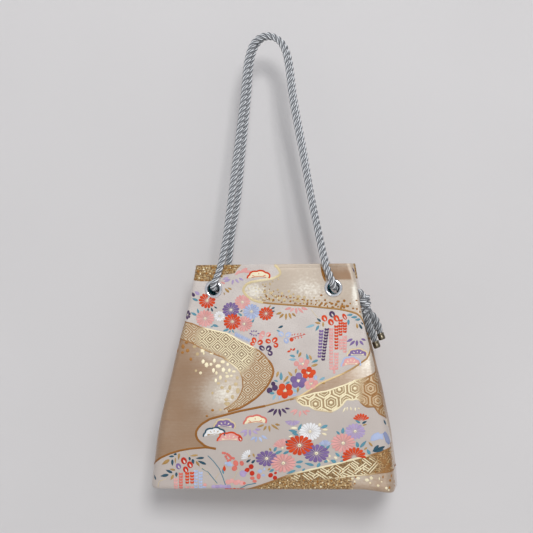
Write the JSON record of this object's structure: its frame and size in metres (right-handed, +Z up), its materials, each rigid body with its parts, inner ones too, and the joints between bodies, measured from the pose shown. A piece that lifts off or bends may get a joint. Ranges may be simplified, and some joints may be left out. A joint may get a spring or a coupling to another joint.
{
  "type": "drawstring pouch",
  "caption": "Boxed brocade pouch with a narrow mouth, a rope handle through metal eyelets, and the rope knotted at one side over metal end caps.",
  "frame": {"origin": "where a hook bears on the underside of the rope handle, at its top; the bag hangs below and its middle lies 9 mm to +X", "axes": "+X to the right of a viewer facing the front, -Y out of the front panel, +Z up; X is the bag's width and Y its depth"},
  "size_m": [0.2744, 0.0918, 0.5245],
  "materials": {
    "brocade": "satin brocade with metallic thread",
    "lining": "plain satin",
    "eyelet": "polished",
    "rope": "twisted silky cord",
    "cap": "polished"
  },
  "bodies": {
    "root": {"outer_front": "brocade", "outer_back": "brocade", "lining_front": "lining", "lining_back": "lining", "eyelet_front_left": "eyelet", "eyelet_front_right": "eyelet", "eyelet_back_left": "eyelet", "eyelet_back_right": "eyelet", "eyelet_side": "eyelet", "washer_front_left": "eyelet", "washer_front_right": "eyelet", "washer_back_left": "eyelet", "washer_back_right": "eyelet", "washer_side": "eyelet", "handle_rope": "rope", "rope_knot": "rope", "rope_tail_front": "rope", "rope_tail_back": "rope", "tail_cap_front": "cap", "tail_cap_back": "cap"}
  },
  "joints": []
}
